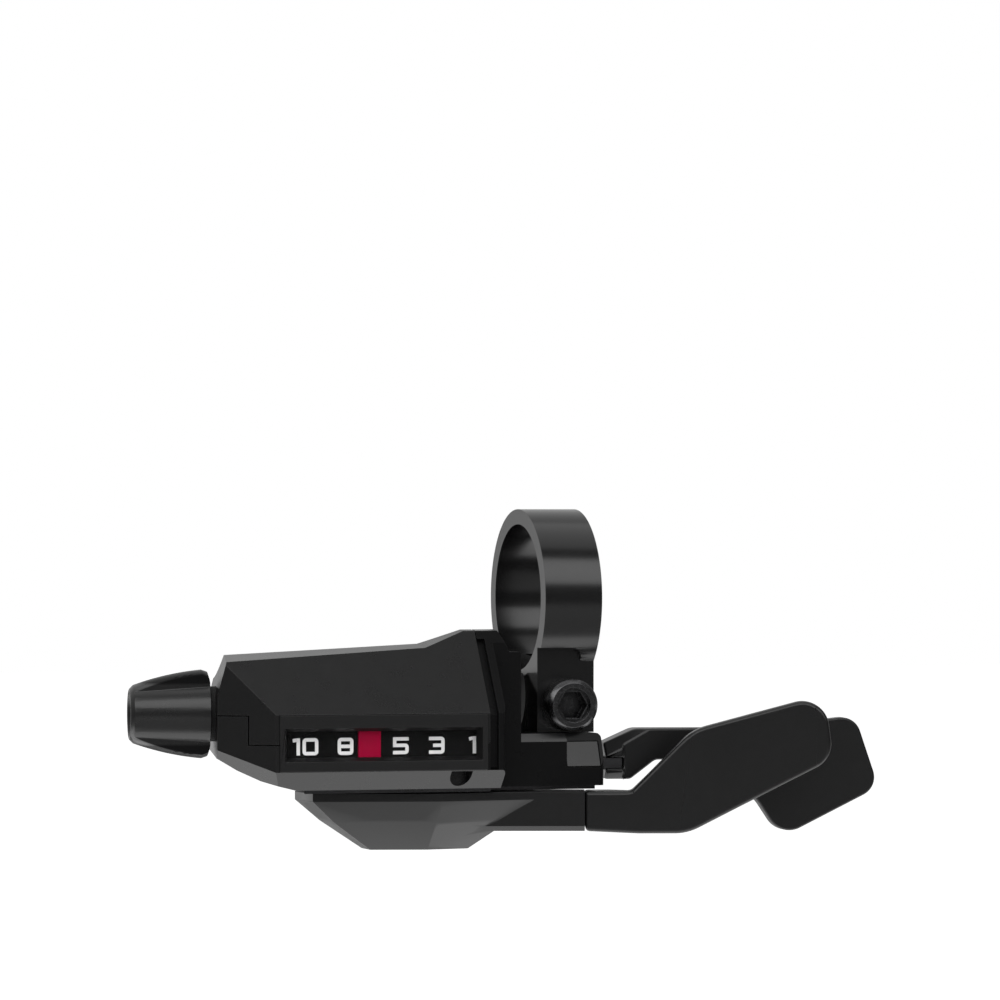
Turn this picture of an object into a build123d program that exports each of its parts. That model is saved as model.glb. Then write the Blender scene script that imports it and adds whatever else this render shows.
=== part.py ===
from build123d import *
from math import cos, radians, sin, tan
import os

# A right-hand trigger gear shifter, in millimetres, +Z up.
# The origin is the centre of the handlebar clamp. +X runs along the bar towards the lever tips,
# and +Y points away from the rider.

# Handlebar clamp
BAR_DIAMETER = 22.2
BAND_WALL = 2.3
BAND_WIDTH = 9.0
BAND_SLIT = 1.6
FRONT_LEG = 9.4
BACK_LEG = 5.2
BOLT_BELOW_BAR = 5.0
BOLT_DIAMETER = 5.0
BOLT_HEAD_DIAMETER = 7.9
BOLT_HEAD_HEIGHT = 4.1
BOLT_SOCKET = 4.0
BOLT_CHAMFER = 0.6
FOOT_LENGTH = 5.3
FOOT_WIDTH = 7.0
FOOT_THICKNESS = 3.0
FOOT_SCREW_DIAMETER = 3.0
BOLT_RECESS = 3.6

# Spool, ratchet and pawls
SPOOL_DIAMETER = 28.0
SPOOL_HEIGHT = 7.4
GROOVE_DEPTH = 1.5
GROOVE_DROP = 2.8
CABLE_DIAMETER = 1.6
RATCHET_DIAMETER = 22.0
RATCHET_THICKNESS = 2.0
TOOTH_DEPTH = 1.3
GEAR_STEP = 13.5
TOOTH_COUNT = 12
PAWL_PIN_DIAMETER = 2.4
PAWL_EYE_DIAMETER = 4.6
PAWL_TIP = 0.5
PAWL_REACH_ANGLE = 20.0
PULL_PAWL_ANGLE = 60.0
HOLD_PAWL_ANGLE = 190.0
SHAFT_DIAMETER = 6.0
SLEEVE_DIAMETER = 10.0

# Stack below the spool
RATCHET_ROOM = 0.7
RELEASE_PLATE_THICKNESS = 1.5
CARRIER_THICKNESS = 0.9
BASE_PLATE_THICKNESS = 1.2
BASE_PLATE_PROUD = 0.55
HUB_GAP = 0.25
HUB_HEIGHT = 8.7
HUB_RIM = 1.2
HUB_STEP = 3.2
HUB_WELL_DEPTH = 3.6
HUB_WELL_WIDTH = 5.0
SLEEVE_WALL = 1.2
SLEEVE_KEY = 3.0
SLEEVE_FLAT = 0.8
CAP_DIAMETER = 13.0
CAP_THICKNESS = 0.9
NUT_WIDTH = 10.0
NUT_HEIGHT = 2.4
NUT_SINK = 4.0
CLIP_THICKNESS = 0.6
CLIP_WIDTH = 1.6
WELL_DEPTH = 4.0
WELL_WALL = 2.0
BOSS_WALL = 1.4
SPRING_WIRE = 1.0
SPRING_PITCH = 1.1
PAWL_WIRE = 0.4

# Housing
WALL = 1.8
POCKET_WALL = 2.2
PIVOT_AHEAD = 2.0
FRONT_DEPTH = 3.9
FRONT_HEIGHT = 8.5
FRONT_BEVEL = 2.8
LEAN_ANGLE = 33.0
TOP_RISE = 0.12
TOP_LEFT_DROP = 9.15
TOP_RIGHT_DROP = 7.35
HOOD_DROP = 5.1
HOOD_RAMP = 6.4
HOOD_LENGTH = 1.8
BLOCK_WALL = 3.2
SHOULDER_WIDTH = 4.5
SHOULDER_DROP = 2.9
SEAM_GAP = 0.15
COVER_GROOVE = 1.3
RIB_WIDTH = 1.2
NOTCH_RADIUS = 1.65
NOTCH_DEPTH = 3.0
NOTCH_DROP = 0.75
NOTCH_INSET = 3.95
SLOT_LEFT = 6.0
DECK_CORNER = 5.0
DECK_ROUND = 0.8
LEDGE = 1.2
NOSE_RISE = 6.4
NOSE_UNDER = 11.8
SKIRT_DEPTH = 4.3
SKIRT_INSET = 3.4
BASE_LIP = 1.2
PLUG_WIDTH = 5.4
PLUG_HEIGHT = 3.8
PLUG_DEPTH = 2.4
PLUG_LEAN = 23.0
SCREW_DIAMETER = 2.0
SCREW_HEAD_DIAMETER = 3.2
SCREW_HEAD_HEIGHT = 1.2
COVER_SCREWS = [(-13.5, 11.0), (-24.0, 3.2)]
BASE_SCREW_REACH = 3.0
BASE_SCREWS = [(-17.4, -7.0), (15.5, -8.8)]

# Window
BEZEL_LENGTH = 32.2
BEZEL_RIGHT = 5.1
BEZEL_SIDE = 0.8
BEZEL_RAIL = 1.5
BEZEL_BROW = 1.9
BEZEL_SLOPE = 20.0
BEZEL_PROUD = 0.2
LENS_THICKNESS = 0.6
POINTER_THICKNESS = 0.6
POINTER_WIDTH = 3.9
POINTER_REST = -12.8
POINTER_STEP = 2.85
DIAL_THICKNESS = 0.6

# Barrel adjuster and nose
ADJUSTER_YAW = 10.4
NOSE_REACH = 32.2
NOSE_HALF_WIDTH = 6.6
NOSE_CHAMFER = 1.3
KNOB_LENGTH = 11.9
KNOB_DIAMETER = 13.2
KNOB_END_DIAMETER = 8.7
KNOB_GAP = 0.7
KNOB_ROUND = 1.2
KNOB_CORE_DIAMETER = 9.9
LOBE_WIDTH = 5.6
SHANK_DIAMETER = 5.0
SHANK_LENGTH = 13.0
SHANK_SEAT = 3.0
COLLAR_DIAMETER = 8.2
COLLAR_LENGTH = 6.2
COLLAR_WALL = 0.9
COLLAR_SPRING_ROOM = 2.0
INSERT_DIAMETER = 8.0
INSERT_LENGTH = 7.0
CASING_DIAMETER = 5.2
CASING_DEPTH = 8.0
MOUTH_DIAMETER = 7.0

# Levers, in a frame on the pivot with x along the pull lever at rest
LEVER_ANGLE = -18.0
HUB_LEFT = 18.5
HUB_RIGHT = 17.5
HUB_FRONT = 14.5
HUB_BACK = 14.5
HUB_STEP_SIDE = 3.7
HUB_STEP_FRONT = 1.9
HUB_FOOT_SIDE = 10.0
HUB_FOOT_FRONT = 6.5
ARM_END = 25.1
ARM_HEIGHT = 5.95
ARM_FRONT = 7.0
ARM_DEPTH = 8.0
ARM_CHAMFER = 0.8
TONGUE_LENGTH = 7.0
TONGUE_HEIGHT = 2.6
TONGUE_SIDE = 1.4
PADDLE_BEND = 32.1
PADDLE_LENGTH = 62.1
PADDLE_THICKNESS = 3.2
PADDLE_RISE = 13.5
PADDLE_DISH = 1.2
PADDLE_SLOPE = 9.25
PADDLE_HEEL = 0.4
PADDLE_ROUND = 4.0
RELEASE_LEAD_ANGLE = 9.0
RELEASE_ROOT = 28.2
RELEASE_LENGTH = 69.95
RELEASE_ARM_WIDTH = 6.8
RELEASE_EYE_WALL = 2.6
RELEASE_RISE = 4.45
RELEASE_DROP = 9.7
RELEASE_PADDLE_THICKNESS = 3.0
RELEASE_BLADE = 18.0
RELEASE_NECK = 23.0
RELEASE_UNDER = 1.2
RELEASE_ROUND = 3.0
RELEASE_FACET = 4.2
FORK_DEPTH = 4.8
FORK_OPEN = 2.8
FORK_JAW = 1.7
FORK_STEP = 0.5
FORK_BEVEL = 1.1
RIVET_DIAMETER = 1.2

# Fits
FIT = 0.05
ROOM = 0.3
BAR_ROOM = 0.9
SPOOL_ROOM = 0.6
SLIDE_GAP = 0.2
PLATE_GAP = 0.1
BIG = 200.0

# Worked out from the sizes above
bar_r = BAR_DIAMETER / 2
band_r = bar_r + BAND_WALL
bolt_drop = bar_r + BOLT_BELOW_BAR
spool_r = SPOOL_DIAMETER / 2
groove_r = spool_r - GROOVE_DEPTH
ratchet_r = RATCHET_DIAMETER / 2
pawl_pin_r = PAWL_PIN_DIAMETER / 2
pawl_eye_r = PAWL_EYE_DIAMETER / 2
pawl_orbit = ratchet_r + pawl_eye_r + 3 * ROOM
shaft_r = SHAFT_DIAMETER / 2
sleeve_r = SLEEVE_DIAMETER / 2
sleeve_flat = sleeve_r - SLEEVE_FLAT
screw_r = SCREW_DIAMETER / 2
screw_head_r = SCREW_HEAD_DIAMETER / 2
pocket_r = pawl_orbit + pawl_eye_r + SPOOL_ROOM
housing_back_r = pocket_r + POCKET_WALL
spool_room_r = spool_r + SPOOL_ROOM
spool_wall_r = spool_room_r + WALL - SLIDE_GAP

pivot_x = -(BAND_WIDTH / 2 + ROOM + spool_wall_r)
pivot_y = -PIVOT_AHEAD
top_z = -(bar_r + BAR_ROOM)
spool_top = top_z - WALL - 2 * SLIDE_GAP
spool_bottom = spool_top - SPOOL_HEIGHT
ratchet_bottom = spool_bottom - RATCHET_THICKNESS
release_top = ratchet_bottom - RATCHET_ROOM
release_bottom = release_top - RELEASE_PLATE_THICKNESS
carrier_top = release_bottom - PLATE_GAP
carrier_bottom = carrier_top - CARRIER_THICKNESS
plate_top = carrier_bottom - SLIDE_GAP
bottom_z = plate_top - BASE_PLATE_THICKNESS
plate_bottom = bottom_z - BASE_PLATE_PROUD
hub_top = plate_bottom - HUB_GAP
hub_bottom = hub_top - HUB_HEIGHT
nut_top = hub_bottom + NUT_SINK
shaft_bottom = nut_top - NUT_HEIGHT - ROOM
shaft_top = spool_top - ROOM
clip_low = shaft_top - 2 * SLIDE_GAP - CLIP_THICKNESS
pawl_top = spool_bottom - SLIDE_GAP
cable_z = spool_top - GROOVE_DROP
seam_z = cable_z
slot_top = release_top + 2 * ROOM
deck_z = -(bolt_drop + BOLT_HEAD_DIAMETER / 2 + ROOM)

pocket_front = pivot_y - spool_room_r
front_y = pocket_front - FRONT_DEPTH
front_low = bottom_z + FRONT_BEVEL
front_top = front_low + FRONT_HEIGHT
bezel_right = pivot_x + BEZEL_RIGHT
bezel_left = bezel_right - BEZEL_LENGTH
bezel_low = front_low + FIT
bezel_high = front_top - PLATE_GAP
window_low = bezel_low + BEZEL_RAIL
window_high = bezel_high - BEZEL_BROW
lens_face = pocket_front - ROOM - DIAL_THICKNESS - POINTER_THICKNESS - LENS_THICKNESS - 2 * SLIDE_GAP
track_right = pivot_x + POINTER_REST + 6 * POINTER_STEP + POINTER_WIDTH / 2 + ROOM
track_left = bezel_left + ROOM
cover_right = bezel_right + 2 * SLIDE_GAP
rib_left = cover_right + COVER_GROOVE
front_right = rib_left + RIB_WIDTH
front_left = bezel_left - 2 * ROOM
shoulder_right = front_right + SHOULDER_WIDTH
block_front = -(FRONT_LEG + BOLT_HEAD_HEIGHT + ROOM)
block_inner = block_front + BLOCK_WALL
right_x = BAND_WIDTH / 2 + ROOM
deck_back = BACK_LEG + FOOT_LENGTH + ROOM
foot_screw_y = BACK_LEG + FOOT_LENGTH / 2
plug_right = right_x - 2 * ROOM
plug_left = plug_right - PLUG_WIDTH
plug_low = deck_z - LEDGE - PLUG_HEIGHT
nose_bend = front_left * cos(radians(LEVER_ANGLE)) + front_y * sin(radians(LEVER_ANGLE))

well_inner = shaft_r + CLIP_WIDTH + WELL_WALL
well_outer = groove_r - CABLE_DIAMETER - 2 * ROOM
boss_r = sleeve_r + BOSS_WALL
boss_flat = sleeve_r + ROOM
hub_well_r = sleeve_r + HUB_WELL_WIDTH
arm_low = hub_top - ARM_HEIGHT
arm_middle = ARM_DEPTH / 2 - ARM_FRONT
paddle_start = ARM_END + FIT
fork_low = release_bottom - FORK_JAW
fork_mouth = RELEASE_ROOT + FORK_OPEN
fork_end = RELEASE_ROOT + FORK_DEPTH
insert_high = -(COLLAR_LENGTH + SLIDE_GAP)
insert_low = insert_high - INSERT_LENGTH
knob_far = KNOB_GAP + KNOB_LENGTH

# The adjuster's axis runs out of the front of the spool's groove.
out_dir = Vector(-cos(radians(ADJUSTER_YAW)), sin(radians(ADJUSTER_YAW)), 0)
side_dir = Vector(-sin(radians(ADJUSTER_YAW)), -cos(radians(ADJUSTER_YAW)), 0)
tangent = Vector(pivot_x, pivot_y, cable_z) + side_dir * groove_r
nose_end = tangent + out_dir * NOSE_REACH
nose_near = nose_end + side_dir * NOSE_HALF_WIDTH
nose_far = nose_end - side_dir * NOSE_HALF_WIDTH
ADJUSTER = Plane(origin=nose_end, x_dir=(0, 0, 1), z_dir=out_dir)

PIVOT = Pos(pivot_x, pivot_y, 0)
LEVER = PIVOT * Rot(0, 0, LEVER_ANGLE)
RELEASE = LEVER * Rot(0, 0, RELEASE_LEAD_ANGLE)


def box(x0, x1, y0, y1, z0, z1):
    """A box between two corners."""
    size = (x1 - x0, y1 - y0, z1 - z0)
    return Pos((x0 + x1) / 2, (y0 + y1) / 2, (z0 + z1) / 2) * Box(*size)


def rod(radius, z0, z1, x=0.0, y=0.0):
    """A round bar that stands along Z."""
    return Pos(x, y, (z0 + z1) / 2) * Cylinder(radius, z1 - z0)


def ring(outer, inner, z0, z1):
    """A round tube that stands along Z."""
    return rod(outer, z0, z1) - rod(inner, z0, z1)


def slab(outline, z0, z1):
    """A flat outline drawn up from one level to another."""
    return Pos(0, 0, z0) * extrude(outline, z1 - z0)


def outside(plane):
    """Everything on a plane's outer side."""
    return plane * Pos(0, 0, BIG / 2) * Box(BIG, BIG, BIG)


def polar(radius, angle):
    """A point around the pivot."""
    return (radius * cos(radians(angle)), radius * sin(radians(angle)))


def wire(path, diameter):
    """A round wire along a path."""
    profile = Plane(origin=path @ 0, z_dir=path % 0) * Circle(diameter / 2)
    return sweep(profile, path, is_frenet=True)


def bar_line(radius):
    """The space along the bar, and the open space behind it."""
    bar = Rot(0, 90, 0) * Cylinder(radius, BIG)
    return bar + box(-BIG / 2, BIG / 2, 0, BIG / 2, -radius, BIG / 2)


def plan_outline():
    """The housing seen from above."""
    corners = [
        (front_right, front_y),
        (front_left, front_y),
        (nose_near.X, nose_near.Y),
        (nose_far.X, nose_far.Y),
        (right_x, deck_back),
        (right_x, block_front),
    ]
    body = Polyline(*corners, close=True)
    back = Pos(pivot_x, pivot_y) * Circle(housing_back_r)
    hull = make_hull(body.edges() + back.edges())
    step = Pos(front_right + BIG / 2, block_front - BIG / 2) * Rectangle(BIG, BIG)
    outline = hull - step
    for corner, radius in (
        ((front_right, front_y), WALL / 2),
        ((right_x, block_front), WALL / 2),
        ((right_x, deck_back), DECK_CORNER),
    ):
        outline = fillet(outline.vertices().sort_by_distance((*corner, 0))[0], radius)
    return outline


def side_outline(inset):
    """The housing seen from its end, with the window face leaning back above the window."""
    lean = tan(radians(LEAN_ANGLE))
    corners = [
        (front_y + FRONT_BEVEL, bottom_z),
        (front_y, front_low),
        (front_y, front_top),
        (front_y - lean * front_top, 0),
        (BIG / 4, 0),
        (BIG / 4, bottom_z),
    ]
    return offset(make_face(Polyline(*corners, close=True)), -inset, kind=Kind.INTERSECTION)


def top_outline(inset):
    """The housing's upper edge seen from the front, rising to a hood beside the clamp."""
    hood = cover_right - HOOD_LENGTH
    ramp = hood - HOOD_RAMP
    slope = (TOP_LEFT_DROP - TOP_RIGHT_DROP) / (ramp - nose_near.X)
    far_left = nose_near.X - BIG / 4
    corners = [
        (far_left, -BIG / 4),
        (far_left, -TOP_LEFT_DROP - slope * BIG / 4 - inset),
        (ramp, -TOP_RIGHT_DROP - inset),
        (hood, -HOOD_DROP - inset),
        (BIG / 4, -HOOD_DROP - inset),
        (BIG / 4, -BIG / 4),
    ]
    return make_face(Polyline(*corners, close=True))


def envelope(inset):
    """The housing's outer form, drawn in by a wall's thickness."""
    plan = slab(offset(plan_outline(), -inset, kind=Kind.INTERSECTION), bottom_z, 0)
    side = extrude(Plane.YZ * side_outline(inset), BIG / 2, both=True)
    start = nose_near.Y - BIG / 4
    top_plane = Plane(origin=(0, start, -TOP_RISE * BIG / 4), x_dir=(1, 0, 0), z_dir=(0, -1, 0))
    rise = Vector(0, 1, TOP_RISE)
    top = extrude(top_plane * top_outline(inset), BIG / 2 * rise.length, dir=rise.normalized())
    return (plan & side & top) - bar_line(bar_r + BAR_ROOM + inset)


def nose_cuts():
    """Cuts that give the nose its rising underside, its lower bevel and its end chamfer."""
    bend = nose_bend
    rise = [
        (bend + FRONT_BEVEL, bottom_z),
        (bend - 0.2 * NOSE_UNDER, bottom_z + 0.22 * NOSE_RISE),
        (bend - 0.5 * NOSE_UNDER, bottom_z + 0.46 * NOSE_RISE),
        (bend - NOSE_UNDER, bottom_z + NOSE_RISE),
        (bend - NOSE_UNDER, bottom_z - WALL),
        (bend + FRONT_BEVEL, bottom_z - WALL),
    ]
    side_on = extrude(Plane.XZ * make_face(Polyline(*rise, close=True)), BIG / 2, both=True)
    under = Rot(0, 0, LEVER_ANGLE) * side_on
    corner = Vector(front_left, front_y, front_low)
    along = Vector(nose_near.X, nose_near.Y, front_low + NOSE_RISE / 2) - corner
    inward = Vector(0.41, 0.57, -0.71)
    bevel = outside(Plane(origin=corner, x_dir=along, z_dir=along.cross(inward)))
    ridge = nose_end + Vector(0, 0, -TOP_LEFT_DROP - cable_z) - out_dir * NOSE_CHAMFER
    cap = outside(Plane(origin=ridge, x_dir=side_dir, z_dir=out_dir + Vector(0, 0, 0.26)))
    return under + bevel + cap


def adjuster_bores():
    """The nose's stepped bore: collar, threaded insert and cable."""
    collar = rod(COLLAR_DIAMETER / 2 + FIT, insert_high, BIG / 4)
    insert = rod(INSERT_DIAMETER / 2 + FIT, insert_low, insert_high)
    channel = rod(CABLE_DIAMETER, -NOSE_REACH, insert_low)
    return ADJUSTER * (collar + insert + channel)


def cover_zone(gap):
    """The share of the housing that belongs to the upper cover, grown by the seam's gap."""
    right = cover_right + gap
    top = box(-BIG / 2, right, -BIG / 2, BIG / 2, seam_z - gap, 0)
    skirt_left = front_left - SKIRT_INSET - gap
    skirt_low = seam_z - SKIRT_DEPTH - gap
    skirt_back = pocket_front - SLIDE_GAP + gap
    return top + box(skirt_left, right, -BIG / 2, skirt_back, skirt_low, seam_z)


def window_room():
    """The front opening for the bezel, and the track behind it for lens, pointer and dial."""
    left = bezel_left - FIT
    right = bezel_right + FIT
    opening = box(left, right, front_y - BIG / 4, lens_face, bezel_low - FIT, bezel_high + FIT)
    low = window_low - ROOM
    high = window_high + ROOM
    return opening + box(track_left, track_right, lens_face, pocket_front - ROOM, low, high)


def cover_screw_rods(radius, head_radius, low):
    """The two screws through the cover's flat back, or room for them."""
    shape = Part()
    head_top = top_z - SLIDE_GAP
    for x, y in COVER_SCREWS:
        shape += rod(radius, low, head_top, pivot_x + x, pivot_y + y)
        shape += rod(head_radius, head_top - SCREW_HEAD_HEIGHT, head_top, pivot_x + x, pivot_y + y)
    return shape


def base_screw_rods(radius, head_radius, high):
    """The two screws that hold the base plate from below, or room for them."""
    shape = Part()
    head_top = plate_bottom + BASE_PLATE_THICKNESS / 2
    for x, y in BASE_SCREWS:
        shape += rod(radius, plate_bottom, high, pivot_x + x, pivot_y + y)
        shape += rod(head_radius, plate_bottom, head_top, pivot_x + x, pivot_y + y)
    return shape


def base_outline(inset):
    """The base plate's outline inside the housing's lower rim."""
    plate = offset(plan_outline(), -inset, kind=Kind.INTERSECTION)
    left = nose_bend + FRONT_BEVEL + inset
    front = front_y + FRONT_BEVEL + inset
    plate &= Pos(0, front + BIG / 2) * Rectangle(BIG, BIG)
    return plate & Rot(0, 0, LEVER_ANGLE) * Pos(left + BIG / 2, 0) * Rectangle(BIG, BIG)


def pocket_outline():
    """The room for pawls and plates, with the front wall left standing."""
    front = Pos(0, pocket_front + SLIDE_GAP + BIG / 2) * Rectangle(BIG, BIG)
    wall = Pos(cover_right + BIG / 2, block_inner - BIG / 2) * Rectangle(BIG, BIG)
    wall -= Pos(pivot_x, pivot_y) * Circle(ratchet_r + SPOOL_ROOM)
    return (Pos(pivot_x, pivot_y) * Circle(pocket_r) & front) - wall


def plug_shape(gap):
    """The cable port's square plug, or its pocket."""
    high = deck_z - LEDGE + gap
    back = block_front + PLUG_DEPTH
    return box(plug_left - gap, plug_right + gap, block_front, back, plug_low - gap, high)


def plug_facet():
    """What the sloped facet over the cable port takes away."""
    lean = Vector(0, -1, tan(radians(PLUG_LEAN)))
    face = outside(Plane(origin=(0, block_front, plug_low), x_dir=(1, 0, 0), z_dir=lean))
    return face & box(plug_left, BIG / 2, -BIG / 2, 0, plug_low, 0)


def upper_cover():
    """The moulded hood, a shell with a solid nose round the adjuster."""
    shell = envelope(0) - nose_cuts()
    hollow_left = nose_end.X - insert_low + NOSE_CHAMFER + WALL
    cover = shell - (envelope(WALL) & box(hollow_left, BIG / 2, -BIG / 2, BIG / 2, -BIG / 2, 0))
    for x, y in COVER_SCREWS:
        post = rod(screw_head_r + WALL / 3, seam_z, top_z - WALL / 2, pivot_x + x, pivot_y + y)
        cover += post & shell
    cover &= cover_zone(0)
    screw_room = cover_screw_rods(screw_r + FIT, screw_head_r + FIT, bottom_z)
    cover -= screw_room + screw_room.moved(Pos(0, 0, SLIDE_GAP + FIT))
    cover -= PIVOT * rod(spool_room_r, bottom_z, spool_top + SLIDE_GAP)
    return cover - window_room() - adjuster_bores()


def notch():
    """The half-round finger notch below the window."""
    middle = bezel_right - NOTCH_INSET
    low = front_low - NOTCH_DROP
    back = front_y + NOTCH_DEPTH
    bottom = Pos(middle, back - NOTCH_DEPTH, low) * Rot(90, 0, 0) * Cylinder(NOTCH_RADIUS, 2 * NOTCH_DEPTH)
    sides = box(middle - NOTCH_RADIUS, middle + NOTCH_RADIUS, -BIG / 2, back, low, front_low)
    return (bottom + sides) & box(-BIG / 2, 0, -BIG / 2, 0, bottom_z, front_low - PLATE_GAP)


def deck_edge():
    """What the rounding of the deck's right edge takes away."""
    x = right_x - DECK_ROUND
    z = deck_z - DECK_ROUND
    corner = box(x, right_x + WALL, -BIG / 2, BIG / 2, z, deck_z + WALL)
    return corner - Pos(x, 0, z) * Rot(90, 0, 0) * Cylinder(DECK_ROUND, BIG)


def lower_housing():
    """The moulded body: nose, mechanism pocket, shoulder, deck and front block."""
    body = envelope(0) - nose_cuts()
    above_deck = box(shoulder_right, BIG / 2, -BIG / 2, BIG / 2, deck_z, 0)
    body -= above_deck - PIVOT * rod(spool_wall_r, bottom_z, 0)
    ledge = Plane(origin=(0, block_front, deck_z - LEDGE), x_dir=(1, 0, 0), z_dir=(0, -1, 1))
    body -= outside(ledge) & box(shoulder_right, BIG / 2, -BIG / 2, 0, bottom_z, 0)
    body -= cover_zone(SEAM_GAP)
    groove_top = -HOOD_DROP - WALL / 2
    body -= box(cover_right, rib_left, -BIG / 2, BIG / 2, front_low, groove_top) - envelope(WALL / 2)
    shoulder = Plane(origin=(front_right + RIB_WIDTH, 0, -HOOD_DROP), x_dir=(0, 1, 0), z_dir=(2, 0, 1))
    body -= outside(shoulder) & box(-BIG / 2, BIG / 2, -BIG / 2, 0, -HOOD_DROP - SHOULDER_DROP, 0)
    body -= PIVOT * rod(spool_room_r, spool_bottom, top_z - WALL)
    body -= slab(pocket_outline(), bottom_z - WALL, spool_bottom)
    slot = box(pivot_x + SLOT_LEFT, BIG / 2, block_inner, BIG / 2, bottom_z, slot_top)
    x, y = BASE_SCREWS[-1]
    body -= slot - rod(2 * screw_r, bottom_z, slot_top, pivot_x + x, pivot_y + y)
    body -= slab(base_outline(BASE_LIP - PLATE_GAP), bottom_z, plate_top)
    body -= window_room() + adjuster_bores()
    body -= notch()
    body -= deck_edge()
    body -= cover_screw_rods(screw_r + FIT, screw_r, spool_bottom + SLIDE_GAP)
    body -= base_screw_rods(screw_r + FIT, screw_r, plate_top + BASE_SCREW_REACH + ROOM)
    body -= rod(FOOT_SCREW_DIAMETER / 2 + FIT, slot_top, deck_z, 0, foot_screw_y)
    return body - plug_shape(FIT) - plug_facet()


def clamp_band():
    """The split band with its two legs and the foot that stands on the deck."""
    half = BAND_WIDTH / 2
    leg_top = -bar_r + BAND_WALL
    band = Rot(0, 90, 0) * Cylinder(band_r, BAND_WIDTH)
    band += box(-half, half, -FRONT_LEG, 0, deck_z + FIT, leg_top)
    band += box(-half, half, 0, BACK_LEG, deck_z, leg_top)
    band += box(-FOOT_WIDTH / 2, FOOT_WIDTH / 2, 0, BACK_LEG + FOOT_LENGTH, deck_z, deck_z + FOOT_THICKNESS)
    band -= Rot(0, 90, 0) * Cylinder(bar_r, BIG)
    band -= box(-BIG / 2, BIG / 2, -BAND_SLIT / 2, BAND_SLIT / 2, -BIG / 2, leg_top)
    recess = box(-BAND_WIDTH, half / 2, -BIG / 4, -FRONT_LEG, deck_z, BOLT_RECESS - bar_r)
    corner = recess.edges().filter_by(Axis.Y).sort_by(lambda edge: edge.center().X + edge.center().Z)[-1]
    band -= fillet(corner, WALL)
    band -= Pos(0, 0, -bolt_drop) * Rot(90, 0, 0) * Cylinder(BOLT_DIAMETER / 2 + FIT, BIG)
    return band - rod(FOOT_SCREW_DIAMETER / 2 + FIT, deck_z, leg_top, 0, foot_screw_y)


def clamp_bolt():
    """The socket-head clamp bolt."""
    axis = Plane(origin=(0, -FRONT_LEG, -bolt_drop), x_dir=(1, 0, 0), z_dir=(0, -1, 0))
    head = rod(BOLT_HEAD_DIAMETER / 2, 0, BOLT_HEAD_HEIGHT)
    head = chamfer(head.edges().group_by(Axis.Z)[-1], BOLT_CHAMFER)
    bolt = head + rod(BOLT_DIAMETER / 2, -FRONT_LEG - BACK_LEG, 0)
    bolt -= rod(BOLT_SOCKET / 2 + BOLT_CHAMFER, BOLT_HEAD_HEIGHT - BOLT_CHAMFER, BOLT_HEAD_HEIGHT)
    key = extrude(RegularPolygon(BOLT_SOCKET / 2, 6, major_radius=False), BOLT_HEAD_HEIGHT)
    return axis * (bolt - Pos(0, 0, BOLT_HEAD_HEIGHT * 0.4) * key)


def foot_screw():
    """The screw that holds the clamp's foot on the deck."""
    seat = deck_z + FOOT_THICKNESS
    radius = FOOT_SCREW_DIAMETER / 2
    screw = rod(radius, slot_top + SLIDE_GAP, seat) + rod(1.7 * radius, seat, seat + radius)
    key = Pos(0, 0, seat + radius / 2) * extrude(RegularPolygon(radius * 0.8, 6), radius)
    return Pos(0, foot_screw_y, 0) * (screw - key)


def window_bezel():
    """The frame round the number window, with sloped inner edges."""
    front = front_y - BEZEL_PROUD
    depth = lens_face - front
    frame = box(bezel_left, bezel_right, front, lens_face, bezel_low, bezel_high)
    middle = ((bezel_left + bezel_right) / 2, lens_face, (window_low + window_high) / 2)
    mouth = Plane(origin=middle, x_dir=(1, 0, 0), z_dir=(0, -1, 0))
    grow = 2 * depth * tan(radians(BEZEL_SLOPE))
    window = Rectangle(BEZEL_LENGTH - 2 * BEZEL_SIDE - grow, window_high - window_low - grow)
    return frame - extrude(mouth * window, depth, taper=-BEZEL_SLOPE)


def window_lens():
    """The clear pane behind the bezel."""
    low = window_low - ROOM + FIT
    high = window_high + ROOM - FIT
    return box(track_left + FIT, bezel_right - FIT, lens_face, lens_face + LENS_THICKNESS, low, high)


def gear_pointer():
    """The red pointer that slides behind the lens."""
    middle = pivot_x + POINTER_REST
    half = POINTER_WIDTH / 2
    face = lens_face + LENS_THICKNESS + SLIDE_GAP
    low = window_low - ROOM + PLATE_GAP
    high = window_high + ROOM - PLATE_GAP
    return box(middle - half, middle + half, face, face + POINTER_THICKNESS, low, high)


def dial_plate():
    """The number plate behind the pointer."""
    back = pocket_front - ROOM
    low = window_low - ROOM + FIT
    high = window_high + ROOM - FIT
    return box(track_left + FIT, track_right - FIT, back - DIAL_THICKNESS, back, low, high)


def base_plate():
    """The steel plate that closes the housing from below and carries the hold pawl's pin."""
    plate = slab(base_outline(BASE_LIP), plate_bottom, plate_top)
    plate -= PIVOT * rod(sleeve_r + FIT, plate_bottom, plate_top)
    plate -= base_screw_rods(screw_r + FIT, screw_head_r + FIT, plate_top)
    return plate - PIVOT * rod(pawl_pin_r, plate_bottom, plate_top, *polar(pawl_orbit, HOLD_PAWL_ANGLE))


def cable_port_plug():
    """The plug in the cable port, with a sloped face."""
    return plug_shape(0) - plug_facet()


def pivot_shaft():
    """The fixed steel shaft, grooved for the clip above the spool."""
    groove = ring(2 * shaft_r, shaft_r - CLIP_THICKNESS, clip_low, clip_low + CLIP_THICKNESS)
    return PIVOT * (rod(shaft_r, shaft_bottom, shaft_top) - groove)


def shaft_clip():
    """The open clip that keeps the spool on the shaft."""
    low = clip_low + FIT / 2
    high = clip_low + CLIP_THICKNESS - FIT / 2
    clip = ring(shaft_r + CLIP_WIDTH, shaft_r - CLIP_THICKNESS + FIT, low, high)
    return PIVOT * (clip - box(0, 2 * SHAFT_DIAMETER, -shaft_r / 2, shaft_r / 2, low, high))


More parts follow.
